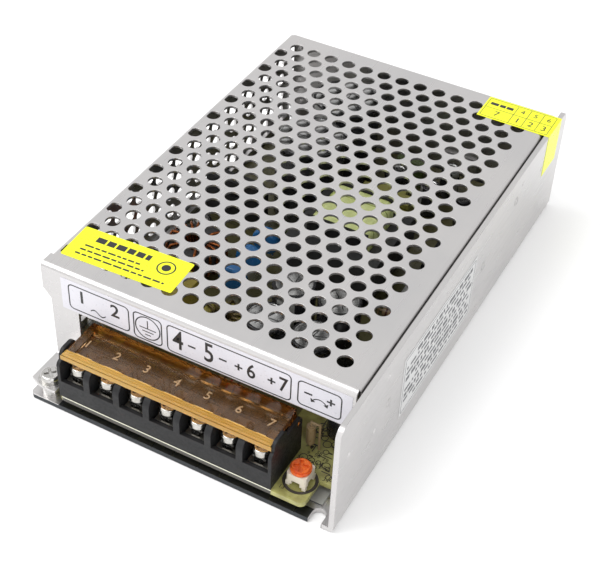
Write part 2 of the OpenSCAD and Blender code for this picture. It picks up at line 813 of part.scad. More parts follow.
module trimmer_dial() color("orangered") {
    slot = 0.9;
    translate([trimmer_x, trimmer_y, dial_z]) {
        difference() {
            union() {
                cylinder(d = dial_d, h = dial_h * 0.6, $fn = fine);
                cylinder(d = dial_d - 0.8, h = dial_h, $fn = fine);
            }
            for (a = [0, 90]) translate([0, 0, dial_h]) rotate(a + 20)
                cube([dial_d * 0.68, slot, 1.4], center = true);
        }
        translate([0, 0, -spindle_l]) cylinder(r = spindle_r, h = spindle_l + eps, $fn = fine);
    }
}

// ---- input side ----

fuse_l = 20;
fuse_d = 5.2;
fuse_z = board_top + 4.4;

module fuse_clips() color("silver") {
    clip_l = 5;
    clip_w = 4;
    for (s = [-1, 1]) {
        y = fuse_spot[1] + s * (fuse_l - clip_l) / 2;
        translate([fuse_spot[0], 0, 0]) along_y(y - clip_l / 2 + 0.3, y + clip_l / 2 - 0.3)
            difference() {
                union() {
                    translate([0, fuse_z]) circle(fuse_d / 2 + 0.6, $fn = fine);
                    square_from(-clip_w / 2, board_top, clip_w / 2, fuse_z);
                }
                translate([0, fuse_z]) circle(fuse_d / 2 + 0.05, $fn = fine);
                square_from(-clip_w / 2 + 0.3, fuse_z, clip_w / 2 - 0.3, fuse_z + 5);
                square_from(-clip_w / 2 + 0.6, board_top + 0.6, clip_w / 2 - 0.6, fuse_z - fuse_d / 2 - 0.7);
            }
    }
}

// Glass tube between two metal caps
module fuse() color("lightcyan") {
    translate([fuse_spot[0], fuse_spot[1] + fuse_l / 2, fuse_z]) rotate([90, 0, 0])
        rotate_extrude($fn = fine) {
            square([fuse_d / 2 - 0.3, fuse_l]);
            for (z = [0, fuse_l - 5]) translate([0, z]) square([fuse_d / 2, 5]);
        }
}

module thermistor() color("darkolivegreen") disc(thermistor_spot, 11, 4, 2);

module yellow_capacitor() color("gold") {
    board_box(film_spot, 8.5, 17, 14.5, 0.6);
    for (s = [-1, 1]) lead(film_spot[0], film_spot[1] + s * 7, board_top + 1, 0.8);
}

module choke_core() color("dimgray") {
    ring(choke_spot, choke_d - 3, choke_d / 2 - 1, board_top + 2.5, 7.5, 0.8);
}

// Two windings round the input choke, left and right
module choke_windings() color("chocolate") {
    h = 7.5;
    difference() {
        ring(choke_spot, choke_d, choke_d / 2 - 4, board_top + 1, h + 3, 2);
        ring(choke_spot, choke_d - 3 + 0.1, choke_d / 2 - 1.1, board_top + 2.45, h + 0.1, 0.8);
        for (a = [0, 180]) translate([choke_spot[0], choke_spot[1], board_top + 6]) rotate(a + 90)
            linear_extrude(20, center = true) polygon([[0, 0], [40, -14], [40, 14]]);
    }
    for (a = [20, 160, 200, 340]) lead(
        choke_spot[0] + cos(a) * (choke_d / 2 - 1.6), choke_spot[1] + sin(a) * (choke_d / 2 - 1.6),
        board_top + 2.5, 1);
}

module blue_capacitors() color("steelblue") {
    for (p = blue_spots) disc(p, 9, 3.6, 3.4);
}

module bridge_rectifier() color("darkslategray") {
    t = 4.6;
    w = 20;
    h = 14;
    lift = 2;
    translate([bridge_spot[0], bridge_spot[1], board_top + lift]) difference() {
        block(-w / 2, -t / 2, 0, w / 2, t / 2, h);
        translate([w / 2, 0, h]) rotate([0, 45, 0]) cube([3, t + 1, 3], center = true);
        translate([0, 0, h - 4.5]) rotate([90, 0, 0])
            cylinder(d = 3.2, h = t + 1, center = true, $fn = fine);
    }
    for (i = [-1.5 : 1 : 1.5]) lead(bridge_spot[0] + i * 5, bridge_spot[1], board_top + lift + eps, 1);
}

module input_capacitors() color("black") {
    for (p = input_cap_spots) can(p, input_cap_d, input_cap_h);
}

// ---- transformer ----

yoke_t = 4.5;
core_leg_t = 5;
middle_leg_w = 9;
winding_lift = 1;
flange_t = 0.8;
core_z = board_top + winding_lift + (winding_h - core_t) / 2;
window_l = core_l / 2 - yoke_t;
window_w = core_w / 2 - core_leg_t;
winding_l = window_l - 0.2 - flange_t;

// Closed core of two halves lying flat, its middle leg along Y
module transformer_core() color("darkslategray") {
    translate([transformer_spot[0], transformer_spot[1], core_z]) linear_extrude(core_t) difference() {
        square([core_w, core_l], center = true);
        for (s = [-1, 1]) translate([s * (window_w + middle_leg_w / 2) / 2, 0])
            square([window_w - middle_leg_w / 2, 2 * window_l], center = true);
    }
}

// Taped winding round the middle leg, standing out above and below the core
module transformer_winding() color("yellow") {
    z0 = board_top + winding_lift;
    translate([transformer_spot[0], transformer_spot[1], 0])
        along_y(-winding_l + 0.1, winding_l - 0.1) difference() {
            round_rect(-window_w + 0.3, z0, window_w - 0.3, z0 + winding_h, 2.5);
            translate([0, core_z + core_t / 2])
                square([middle_leg_w + 1.6, core_t + 1.6], center = true);
        }
}

// Bobbin: sleeve round the middle leg, a flange and a pin rail at each end
module transformer_bobbin() color("saddlebrown") {
    translate([transformer_spot[0], transformer_spot[1], 0]) difference() {
        union() {
            for (s = [0, 1]) mirror([0, s, 0]) {
                block(-window_w + 0.2, winding_l, board_top, window_w - 0.2, winding_l + flange_t,
                    board_top + winding_lift + winding_h + 0.5);
                block(-window_w - 1.5, winding_l, board_top, window_w + 1.5, core_l / 2, core_z);
            }
            translate([0, 0, core_z + core_t / 2])
                cube([middle_leg_w + 1.4, 2 * winding_l + eps, core_t + 1.4], center = true);
        }
        translate([0, 0, core_z + core_t / 2])
            cube([middle_leg_w + 0.2, core_l, core_t + 0.2], center = true);
    }
}

// ---- power semiconductors on the right wall ----

// Flat package standing against its pad, with three leads bent into the board
module package(y, w, h) {
    x1 = wall_x - pad_t;
    block(x1 - package_t, y - w / 2, package_z, x1 - 1.3, y + w / 2, package_z + h * 0.62);
    block(x1 - 1.3 - eps, y - w / 2, package_z, x1, y + w / 2, package_z + h);
    for (i = [-1, 0, 1]) translate([x1, y + i * w / 4, 0])
        block(-2.9, -0.45, board_top, -2.3, 0.45, package_z + eps);
}

// Pad reaching a little past its package on all sides
module pad(y, w, h) {
    block(wall_x - pad_t, y - w / 2, package_z - 1.5, wall_x, y + w / 2, package_z + h + 0.4);
}

module power_transistors() color("darkslategray") {
    for (y = transistor_ys) package(y, transistor_w, transistor_h);
}

module output_rectifier() color("darkslategray") package(rectifier_y, rectifier_w, rectifier_h);

module insulating_pads() color("silver") {
    for (y = transistor_ys) pad(y, transistor_w + 0.4, transistor_h);
    pad(rectifier_y, rectifier_w + 2.2, rectifier_h);
}

// Each clamp: first and last edge along Y, and height; the screws sit in the clear places
clamp_z = package_z + 5;
clamp_x0 = wall_x - pad_t - package_t - 1.5;
clamps = [
    [transistor_ys[0] - 5.5, transistor_ys[1] + 5.5],
    [rectifier_y - 8.3, rectifier_y + 13.5]
];
clamp_screw_places = [
    [(transistor_ys[0] + transistor_ys[1]) / 2, clamp_z + 3],
    [rectifier_y + 11, clamp_z + 3]
];

module clamp_bars() color("lightgray") {
    for (i = [0, 1]) difference() {
        block(clamp_x0, clamps[i][0], clamp_z, clamp_x0 + 1.5, clamps[i][1], clamp_z + 6);
        translate([clamp_x0 - 1, clamp_screw_places[i][0], clamp_screw_places[i][1]])
            rotate([0, 90, 0]) cylinder(d = shank_d + 0.2, h = 4, $fn = fine);
    }
}

module clamp_screws() color("silver") {
    for (p = clamp_screw_places) translate([clamp_x0, p[0], p[1]]) rotate([0, -90, 0])
        screw(0, 0, 0, -(x_right - clamp_x0) + 0.1, 5.4, 2);
}

// ---- output side ----

module output_choke_core() color("khaki") {
    ring(coil_spot, coil_d - 3, coil_d / 2 - 1, board_top + 2.5, 7, 0.8);
}

// Single winding that leaves a short gap
module output_choke_winding() color("peru") {
    difference() {
        ring(coil_spot, coil_d, coil_d / 2 - 3, board_top + 1, 10, 1.6);
        ring(coil_spot, coil_d - 2.9, coil_d / 2 - 1.1, board_top + 2.45, 7.1, 0.8);
        translate([coil_spot[0], coil_spot[1], board_top + 6]) rotate(200)
            linear_extrude(20, center = true) polygon([[0, 0], [40, -11], [40, 11]]);
    }
    for (a = [170, 230]) lead(
        coil_spot[0] + cos(a) * (coil_d / 2 - 1.5), coil_spot[1] + sin(a) * (coil_d / 2 - 1.5),
        board_top + 2.5, 1.2);
}

module output_capacitors() color("black") {
    for (p = output_cap_spots) can(p, output_cap_d, output_cap_h);
}

// ---- control ----

// Plug-in chip with pins along both long sides
module chip(p, n, w) {
    l = n * 2.54 + 0.6;
    difference() {
        block(p[0] - w / 2, p[1] - l / 2, board_top + 0.5, p[0] + w / 2, p[1] + l / 2, board_top + 4);
        translate([p[0], p[1] - l / 2, board_top + 3.5]) cylinder(d = 2, h = 2, $fn = fine);
    }
    for (i = [0 : n - 1], s = [-1, 1]) {
        y = p[1] + (i - (n - 1) / 2) * 2.54;
        translate([p[0] + s * (w / 2 + 0.3), y, board_top + 1.2]) cube([0.6, 0.6, 2.4], center = true);
    }
}

module control_chip() color("darkslategray") chip(chip_spot, 8, 6.4);

module optocoupler() color("whitesmoke") chip(opto_spot, 2, 6.4);

module drive_transformer() color("gold") {
    p = drive_spot;
    board_box(p, 9, 15.5, 12.5, 1);
    for (s = [-1, 1]) block(
        p[0] + s * 6.6 - 2, p[1] - 5, board_top + 1, p[0] + s * 6.6 + 2, p[1] + 5, board_top + 12);
    block(p[0] - 8.6, p[1] - 2.5, board_top + 9 + 3.5, p[0] + 8.6, p[1] + 2.5, board_top + 14);
}

module small_capacitors() color("black") {
    can(spot(83.3, 27.1), 8, 12);
    can(spot(52, 127), 8, 12);
    can(spot(64, 127), 6.3, 11);
    can(spot(66, 139), 6.3, 11);
    can(spot(76, 126), 5, 11);
}

module film_capacitors() color("seagreen") {
    board_box(spot(52, 140), 10, 5, 9, 0.6);
    board_box(spot(80, 91.5), 5, 3, 7, 0.6);
    board_box(spot(34, 88), 7, 4, 8, 0.6);
}

module resistors() color("burlywood") {
    resistor(spot(77, 74.5), 3.2, 8);
    resistor(spot(78, 69), 3.2, 8);
    resistor(spot(80.3, 33), 2.4, 6.4);
    resistor(spot(80.3, 43), 2.4, 6.4);
    standing_resistor(spot(78.3, 18.7), 2.6, 7);
    resistor(spot(52, 24), 4.4, 12);
    resistor(spot(78, 135), 2.4, 6.4);
}

chassis();
mesh_cover();
cover_screws();
insulation_sheet();
board_standoffs();
circuit_board();
board_screws();
board_washers();
front_label();
yellow_label();
seal_label();
rating_label();
terminal_block();
terminal_plates();
wire_clamps();
terminal_screws();
terminal_lid();
trimmer_body();
trimmer_dial();
fuse_clips();
fuse();
thermistor();
yellow_capacitor();
choke_core();
choke_windings();
blue_capacitors();
bridge_rectifier();
input_capacitors();
transformer_core();
transformer_winding();
transformer_bobbin();
power_transistors();
output_rectifier();
insulating_pads();
clamp_bars();
clamp_screws();
output_choke_core();
output_choke_winding();
output_capacitors();
control_chip();
optocoupler();
drive_transformer();
small_capacitors();
film_capacitors();
resistors();
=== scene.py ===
import math
import random

import bmesh
import bpy
from mathutils import Matrix, Vector


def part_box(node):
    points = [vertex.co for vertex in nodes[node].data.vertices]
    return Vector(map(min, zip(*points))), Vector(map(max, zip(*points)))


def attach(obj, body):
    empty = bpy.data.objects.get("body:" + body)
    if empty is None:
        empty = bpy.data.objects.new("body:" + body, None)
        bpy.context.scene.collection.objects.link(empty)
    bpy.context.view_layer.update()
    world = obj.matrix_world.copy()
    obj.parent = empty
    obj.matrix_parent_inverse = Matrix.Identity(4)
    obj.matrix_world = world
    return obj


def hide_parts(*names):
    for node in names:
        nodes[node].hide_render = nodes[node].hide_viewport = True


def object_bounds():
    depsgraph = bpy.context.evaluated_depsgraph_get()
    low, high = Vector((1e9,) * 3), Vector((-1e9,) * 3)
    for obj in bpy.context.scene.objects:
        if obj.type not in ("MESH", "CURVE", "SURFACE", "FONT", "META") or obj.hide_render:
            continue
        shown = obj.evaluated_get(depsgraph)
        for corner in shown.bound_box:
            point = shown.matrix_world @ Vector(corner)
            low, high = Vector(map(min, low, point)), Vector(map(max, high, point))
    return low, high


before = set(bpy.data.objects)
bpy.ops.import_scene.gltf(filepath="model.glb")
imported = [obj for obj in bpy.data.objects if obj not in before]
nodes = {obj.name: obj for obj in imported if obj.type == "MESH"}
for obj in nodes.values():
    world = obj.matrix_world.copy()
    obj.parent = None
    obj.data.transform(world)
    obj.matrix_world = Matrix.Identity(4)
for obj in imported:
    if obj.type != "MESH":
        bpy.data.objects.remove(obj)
MM = 0.001


def as_lists(box):
    return [[float(c) for c in corner] for corner in box]


cad_box = as_lists(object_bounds())

# Table and light: a white table top under a bright tent, a large soft lamp from the
# upper left, and weaker ones from the right and from the front.
bpy.context.scene.view_settings.view_transform = "Standard"
floor_mesh = bmesh.new()
bmesh.ops.create_grid(floor_mesh, x_segments=2, y_segments=2, size=3.0)
floor_data = bpy.data.meshes.new("floor")
floor_mesh.to_mesh(floor_data)
floor_mesh.free()
floor = bpy.data.objects.new("floor", floor_data)
floor.location = (0, 0, -0.0002)
bpy.context.scene.collection.objects.link(floor)
floor_paint = bpy.data.materials.new("floor_paint")
floor_paint.use_nodes = True
floor_shader = floor_paint.node_tree.nodes["Principled BSDF"]
floor_shader.inputs["Base Color"].default_value = (0.94, 0.94, 0.94, 1)
floor_shader.inputs["Roughness"].default_value = 0.9
floor_shader.inputs["Specular IOR Level"].default_value = 0.1
floor_data.materials.append(floor_paint)

sky = bpy.data.worlds.new("tent")
bpy.context.scene.world = sky
sky.use_nodes = True
sky.node_tree.nodes["Background"].inputs["Color"].default_value = (1, 1, 1, 1)
sky.node_tree.nodes["Background"].inputs["Strength"].default_value = 0.95
for lamp_name, place, energy, size in (
    ("key", (-0.55, -0.35, 0.95), 8.0, 0.8),
    ("side", (0.9, -0.6, 0.6), 3.0, 0.8),
    ("front", (-0.1, -1.1, 0.45), 0.9, 0.7),
):
    lamp = bpy.data.lights.new(lamp_name, "AREA")
    lamp.energy = energy
    lamp.size = size
    lamp_object = bpy.data.objects.new(lamp_name, lamp)
    lamp_object.location = place
    aim = Vector((0, 0, 0.02)) - Vector(place)
    lamp_object.rotation_euler = aim.to_track_quat("-Z", "Y").to_euler()
    bpy.context.scene.collection.objects.link(lamp_object)

# Camera: a long lens above the front right corner, looking down on the top.
camera_data = bpy.data.cameras.new("camera")
camera_data.sensor_width = 36
camera_data.lens = 1285.8 / 600 * 36
camera_data.clip_start = 0.01
camera = bpy.data.objects.new("camera", camera_data)
look = Vector((-0.3350, 0.6696, -0.6629)).normalized()
right = Vector((0.8789, 0.4757, 0.0363))
right = (right - look * right.dot(look)).normalized()
up = right.cross(look)
camera.matrix_world = Matrix.Translation((0.1299, -0.2669, 0.2655)) @ Matrix(
    (
        (right.x, up.x, -look.x),
        (right.y, up.y, -look.y),
        (right.z, up.z, -look.z),
    )
).to_4x4()
bpy.context.scene.collection.objects.link(camera)
bpy.context.scene.camera = camera


# Chassis: one piece of 1.5 mm aluminium sheet, punched and folded, left in its mill
# finish. Rolling leaves fine lines along the length. Darker zones on the front edge and
# in front of the board stand for what the bare metal reflects there.
def finish(
    name,
    colour,
    patch_colour,
    rough=(0.3, 0.45),
    metal=0.0,
    patch=45,
    grain=1400,
    relief=0.00001,
    stretch=(1, 1, 1),
    edge=0.0002,
    coat=0.0,
    specular=0.5,
    clear=0.0,
):
    material = bpy.data.materials.new(name)
    material.use_nodes = True
    tree = material.node_tree
    shader = tree.nodes["Principled BSDF"]
    shader.inputs["Metallic"].default_value = metal
    shader.inputs["Coat Weight"].default_value = coat
    shader.inputs["Specular IOR Level"].default_value = specular
    shader.inputs["Transmission Weight"].default_value = clear
    place = tree.nodes.new("ShaderNodeTexCoord")
    scale = tree.nodes.new("ShaderNodeMapping")
    scale.inputs["Scale"].default_value = stretch
    tree.links.new(place.outputs["Object"], scale.inputs["Vector"])
    patches = tree.nodes.new("ShaderNodeTexNoise")
    patches.inputs["Scale"].default_value = patch
    patches.inputs["Detail"].default_value = 5
    tree.links.new(place.outputs["Object"], patches.inputs["Vector"])
    fine = tree.nodes.new("ShaderNodeTexNoise")
    fine.inputs["Scale"].default_value = grain
    fine.inputs["Detail"].default_value = 3
    tree.links.new(scale.outputs["Vector"], fine.inputs["Vector"])
    spread = tree.nodes.new("ShaderNodeMapRange")
    spread.inputs["From Min"].default_value = 0.35
    spread.inputs["From Max"].default_value = 0.65
    tree.links.new(patches.outputs["Fac"], spread.inputs["Value"])
    tint = tree.nodes.new("ShaderNodeMix")
    tint.data_type = "RGBA"
    tint.inputs["A"].default_value = (*colour, 1)
    tint.inputs["B"].default_value = (*patch_colour, 1)
    tree.links.new(spread.outputs["Result"], tint.inputs["Factor"])
    tree.links.new(tint.outputs["Result"], shader.inputs["Base Color"])
    gloss = tree.nodes.new("ShaderNodeMapRange")
    gloss.inputs["From Min"].default_value = 0.3
    gloss.inputs["From Max"].default_value = 0.7
    gloss.inputs["To Min"].default_value = rough[0]
    gloss.inputs["To Max"].default_value = rough[1]
    tree.links.new(fine.outputs["Fac"], gloss.inputs["Value"])
    tree.links.new(gloss.outputs["Result"], shader.inputs["Roughness"])
    bump = tree.nodes.new("ShaderNodeBump")
    bump.inputs["Distance"].default_value = relief
    bump.inputs["Strength"].default_value = 0.6
    tree.links.new(fine.outputs["Fac"], bump.inputs["Height"])
    if edge:
        soft_edge = tree.nodes.new("ShaderNodeBevel")
        soft_edge.samples = 4
        soft_edge.inputs["Radius"].default_value = edge
        tree.links.new(soft_edge.outputs["Normal"], bump.inputs["Normal"])
    tree.links.new(bump.outputs["Normal"], shader.inputs["Normal"])
    return material


def zone(material, limits, colour, metal=None):
    """Another colour where each named coordinate, in millimetres, is within its limits."""
    tree = material.node_tree
    shader = tree.nodes["Principled BSDF"]
    place = tree.nodes.new("ShaderNodeTexCoord")
    axes = tree.nodes.new("ShaderNodeSeparateXYZ")
    tree.links.new(place.outputs["Object"], axes.inputs["Vector"])
    inside = None
    for axis, (low, high) in limits.items():
        for operation, limit in (("GREATER_THAN", low), ("LESS_THAN", high)):
            test = tree.nodes.new("ShaderNodeMath")
            test.operation = operation
            test.inputs[1].default_value = limit * MM
            tree.links.new(axes.outputs[axis], test.inputs[0])
            if inside is None:
                inside = test.outputs[0]
            else:
                both = tree.nodes.new("ShaderNodeMath")
                both.operation = "MULTIPLY"
                tree.links.new(inside, both.inputs[0])
                tree.links.new(test.outputs[0], both.inputs[1])
                inside = both.outputs[0]
    paint = tree.nodes.new("ShaderNodeMix")
    paint.data_type = "RGBA"
    paint.inputs["B"].default_value = (*colour, 1)
    tree.links.new(shader.inputs["Base Color"].links[0].from_socket, paint.inputs["A"])
    tree.links.new(inside, paint.inputs["Factor"])
    tree.links.new(paint.outputs["Result"], shader.inputs["Base Color"])
    if metal is not None:
        change = tree.nodes.new("ShaderNodeMapRange")
        change.inputs["To Min"].default_value = shader.inputs["Metallic"].default_value
        change.inputs["To Max"].default_value = metal
        tree.links.new(inside, change.inputs["Value"])
        tree.links.new(change.outputs["Result"], shader.inputs["Metallic"])


def dress(material, *names):
    for name in names:
        nodes[name].data.materials.clear()
        nodes[name].data.materials.append(material)


def mill_finish(name):
    return finish(
        name,
        (0.59, 0.575, 0.57),
        (0.55, 0.54, 0.54),
        rough=(0.26, 0.36),
        metal=0.9,
        grain=900,
        relief=0.000005,
        stretch=(1, 0.06, 1),
        edge=0.00025,
    )


chassis_sheet = mill_finish("chassis_sheet")
zone(chassis_sheet, {"X": (-60, 45.6), "Y": (-80, -79.3), "Z": (-1, 1.4)}, (0.05, 0.055, 0.06))
zone(chassis_sheet, {"X": (-36.8, 45), "Y": (-79.6, -76), "Z": (1.4, 1.6)}, (0.06, 0.062, 0.066))
dress(chassis_sheet, "chassis")

# Cover: 0.8 mm sheet of the same metal, punched with staggered round vents and folded
# into top, left wall, skirt, leg and rear wall. Its inner face is given a darker colour,
# since the sheet there reflects only the inside of the case.
cover_sheet = mill_finish("cover_sheet")
zone(cover_sheet, {"X": (-48.1, 46.9), "Y": (-64.9, 74.3), "Z": (2, 37.3)}, (0.16, 0.155, 0.15))
dress(cover_sheet, "mesh_cover")

# Screws, washers, standoffs and clamp bars: bright zinc on steel.
zinc = finish(
    "bright_zinc",
    (0.60, 0.59, 0.58),
    (0.46, 0.45, 0.43),
    rough=(0.16, 0.32),
    metal=1.0,
    patch=400,
)
dress(
    zinc,
    "board_standoffs",
    "board_screws",
    "board_washers",
    "cover_screws",
    "clamp_bars",
    "clamp_screws",
)

# Insulating sheet: thin milky polyester film that lies on the base under the board. Its
# front strip is darker, as it lies in the shade of the board.
milky_film = finish("milky_film", (0.36, 0.36, 0.34), (0.28, 0.28, 0.26), rough=(0.4, 0.6))
zone(milky_film, {"Y": (-80, -74)}, (0.04, 0.042, 0.045))
dress(milky_film, "insulation_sheet")


# Circuit board: yellow-green varnished paper laminate. Painted shade darkens it under the
# cover and on its front edge, and a painted highlight runs along the top of that edge.
# The outlines on it follow the parts; the other marks and figures
# are a seeded draw inside listed areas.
board_low, board_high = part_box("circuit_board")
BOARD_TOP = board_high.z / MM
laminate = finish(
    "paper_laminate",
    (0.42, 0.41, 0.14),
    (0.24, 0.22, 0.07),
    rough=(0.25, 0.4),
    patch=260,
    coat=0.3,
)
# painted shade on the board's front edge
zone(laminate, {"X": (-50, 30.4), "Y": (-79.2, -79.0), "Z": (3.7, 5.05)}, (0.035, 0.03, 0.022))
# painted highlight along the top of the board's front edge
zone(laminate, {"X": (-50, 30.4), "Y": (-79.2, -79.0), "Z": (5.05, 5.4)}, (0.78, 0.77, 0.62))
# painted shade on the board under the cover, in two areas
zone(laminate, {"X": (-50, 24), "Y": (-62, 75)}, (0.11, 0.10, 0.04))
zone(laminate, {"X": (23.9, 50), "Y": (-42, 75)}, (0.13, 0.12, 0.05))
dress(laminate, "circuit_board")


def new_piece(name, mesh, material, body="case"):
    data = bpy.data.meshes.new(name)
    bmesh.ops.recalc_face_normals(mesh, faces=mesh.faces)
    mesh.to_mesh(data)
    mesh.free()
    for one in material if isinstance(material, (list, tuple)) else [material]:
        data.materials.append(one)
    piece = bpy.data.objects.new(name, data)
    bpy.context.scene.collection.objects.link(piece)
    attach(piece, body)
    return piece


def prism(mesh, outline, low, high, spot=Matrix.Identity(4), slot=0):
    """Closed slab with this outline, in millimetres, placed by a matrix."""
    rings = [
        [mesh.verts.new(spot @ Vector((x * MM, y * MM, z * MM))) for x, y in outline]
        for z in (low, high)
    ]
    count = len(outline)
    faces = [mesh.faces.new(rings[0][::-1]), mesh.faces.new(rings[1])]
    for k in range(count):
        after = (k + 1) % count
        faces.append(mesh.faces.new((rings[0][k], rings[0][after], rings[1][after], rings[1][k])))
    for face in faces:
        face.material_index = slot


def frame_line(mesh, outer, inner, low, high, spot=Matrix.Identity(4)):
    """Closed slab between an outer and an inner outline with as many points."""
    loops = [
        [mesh.verts.new(spot @ Vector((x * MM, y * MM, z * MM))) for x, y in outline]
        for outline, z in ((outer, low), (outer, high), (inner, high), (inner, low))
    ]
    count = len(outer)
    for k in range(count):
        after = (k + 1) % count
        for a in range(4):
            b = (a + 1) % 4
            mesh.faces.new((loops[a][k], loops[a][after], loops[b][after], loops[b][k]))


def rectangle(x0, y0, x1, y1):
    return [(x0, y0), (x1, y0), (x1, y1), (x0, y1)]


def rounded(x0, y0, x1, y1, radius, steps=6):
    points = []
    for cx, cy, turn in (
        (x1 - radius, y1 - radius, 0),
        (x0 + radius, y1 - radius, 90),
        (x0 + radius, y0 + radius, 180),
        (x1 - radius, y0 + radius, 270),
    ):
        for k in range(steps + 1):
            angle = math.radians(turn + 90 * k / steps)
            points.append((cx + radius * math.cos(angle), cy + radius * math.sin(angle)))
    return points


def circle(cx, cy, radius, count=32):
    return [
        (cx + radius * math.cos(math.tau * k / count), cy + radius * math.sin(math.tau * k / count))
        for k in range(count)
    ]


def figures(mesh, text, height, low, high, spot, squeeze=1.0, weight=0.0):
    """Plain figures as closed slabs, centred on the matrix's own origin."""
    letters = bpy.data.curves.new("figures", "FONT")
    letters.body = text
    letters.size = height / 0.7 * MM
    letters.extrude = (high - low) / 2 * MM
    letters.offset = weight * MM
    letters.align_x = "CENTER"
    letters.align_y = "CENTER"
    letters.resolution_u = 4
    holder = bpy.data.objects.new("figures", letters)
    flat = bpy.data.meshes.new_from_object(holder)
    flat.transform(
        spot
        @ Matrix.Translation((0, 0, (low + high) / 2 * MM))
        @ Matrix.Diagonal((squeeze, 1, 1, 1))
    )
    mesh.from_mesh(flat)
    bpy.data.objects.remove(holder)
    bpy.data.curves.remove(letters)
    bpy.data.meshes.remove(flat)


dark_ink = finish("dark_ink", (0.035, 0.028, 0.022), (0.05, 0.04, 0.03), rough=(0.4, 0.6), edge=0)
board_print = bmesh.new()
PRINT_LOW = BOARD_TOP - 0.02
PRINT_HIGH = BOARD_TOP + 0.03
dial_low, dial_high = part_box("trimmer_dial")
dial_x = (dial_low.x + dial_high.x) / 2 / MM
dial_y = (dial_low.y + dial_high.y) / 2 / MM
frame_line(board_print, circle(dial_x, dial_y, 4.8), circle(dial_x, dial_y, 3.9), PRINT_LOW, PRINT_HIGH)
for node, spare in (
    ("thermistor", 1.2),
    ("yellow_capacitor", 0.8),
    ("fuse", 1.4),
    ("bridge_rectifier", 0.9),
    ("control_chip", 0.8),
    ("optocoupler", 0.8),
    ("drive_transformer", 0.9),
    ("transformer_bobbin", 0.9),
):
    low, high = (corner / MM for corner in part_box(node))
    outer = (low.x - spare, low.y - spare, high.x + spare, high.y + spare)
    inner = (outer[0] + 0.25, outer[1] + 0.25, outer[2] - 0.25, outer[3] - 0.25)
    frame_line(board_print, rectangle(*outer), rectangle(*inner), PRINT_LOW, PRINT_HIGH)
hand = random.Random(7)
for x0, y0, x1, y1, count in (
    (31.5, -76.5, 44.5, -46.5, 170),
    (20, -22, 40, 2, 45),
    (-45, -60, 20, -58, 14),
    (30, 40, 45, 70, 30),
    (-44, 22, -24, 26, 12),
):
    for k in range(count):
        x = hand.uniform(x0, x1)
        y = hand.uniform(y0, y1)
        if math.hypot(x - dial_x, y - dial_y) < 5.2 or (x > 39.5 and y < -69.5):
            continue
        if hand.random() < 0.35:
            number = Matrix.Translation((x * MM, y * MM, 0))
            figures(board_print, str(hand.randrange(1, 99)), 1.2, PRINT_LOW, PRINT_HIGH, number)
        elif hand.random() < 0.5:
            size = hand.uniform(0.7, 1.3)
            frame_line(
                board_print, circle(x, y, size, 14), circle(x, y, size - 0.25, 14), PRINT_LOW, PRINT_HIGH
            )
        else:
            wide, deep = hand.choice(((0.3, 2.4), (2.6, 0.3), (1.3, 0.5), (0.5, 1.1)))
            prism(board_print, rectangle(x, y, x + wide, y + deep), PRINT_LOW, PRINT_HIGH)
new_piece("board_print", board_print, dark_ink)

# Terminal block: black glass-filled nylon, satin. Tags, clamps and screws are nickel
# plated; the tags are darkened with painted shade. Dark bands of painted shade stand for
# the gaps between the clamp's lip, its plate and the head.
black = finish(
    "black_moulding",
    (0.010, 0.010, 0.011),
    (0.016, 0.016, 0.017),
    rough=(0.35, 0.55),
    patch=200,
    specular=0.28,
)
dress(black, "terminal_block")
nickel = finish(
    "nickel_plate",
    (0.82, 0.80, 0.75),
    (0.70, 0.68, 0.63),
    rough=(0.10, 0.26),
    metal=1.0,
    patch=500,
)
dress(nickel, "fuse_clips")
stack = finish(
    "terminal_nickel",
    (0.60, 0.585, 0.55),
    (0.46, 0.445, 0.41),
    rough=(0.12, 0.3),
    metal=1.0,
    patch=700,
)
# dark bands of painted shade in the gaps between the clamp's lip, its plate and the head
zone(stack, {"Z": (12.45, 12.95)}, (0.05, 0.048, 0.045))
zone(stack, {"Z": (13.5, 13.95)}, (0.05, 0.048, 0.045))
dress(stack, "wire_clamps", "terminal_screws")
# the tags' darker colour is painted shade
dress(
    finish("tag_painted_shade", (0.22, 0.21, 0.19), (0.15, 0.14, 0.12), rough=(0.3, 0.5), metal=0.8, patch=400),
    "terminal_plates",
)

# Flip lid: clear amber styrene with a thin sunk panel, a ribbed lip to lift it by and
# the terminals' numbers raised on the panel. The golden lip is a thin skin on the lid.
lid_low, lid_high = (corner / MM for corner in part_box("terminal_lid"))
LID_TOP = lid_high.z
PANEL_TOP = LID_TOP - 0.9
lid_front = lid_low.y
lid_rear = lid_high.y
amber = finish(
    "amber_styrene",
    (0.90, 0.55, 0.27),
    (0.80, 0.46, 0.20),
    rough=(0.03, 0.08),
    patch=80,
    edge=0,
    clear=0.95,
)
amber.node_tree.nodes["Principled BSDF"].inputs["IOR"].default_value = 1.45
zone(amber, {"X": (-60, 60), "Y": (lid_front - 1, lid_front + 2.5), "Z": (10, 25)}, (0.95, 0.60, 0.14))
zone(amber, {"X": (-60, 60), "Y": (lid_rear - 3.4, lid_rear + 1), "Z": (10, 25)}, (0.62, 0.24, 0.04))
dress(amber, "terminal_lid")
gold = finish("amber_lip", (0.90, 0.58, 0.13), (0.80, 0.46, 0.08), rough=(0.05, 0.12), edge=0, clear=0.6)
lid_details = bmesh.new()
prism(
    lid_details,
    rectangle(lid_low.x + 0.9, lid_front + 0.12, lid_high.x - 0.9, lid_front + 2.4),
    LID_TOP - 0.12,
    LID_TOP + 0.03,
)
prism(
    lid_details,
    rectangle(lid_low.x + 0.6, lid_front - 0.03, lid_high.x - 0.6, lid_front + 0.1),
    LID_TOP - 1.7,
    LID_TOP - 0.3,
)
RIB_FOOT, RIB_CREST, RIB_ROOT = 0.28, 0.16, 0.1
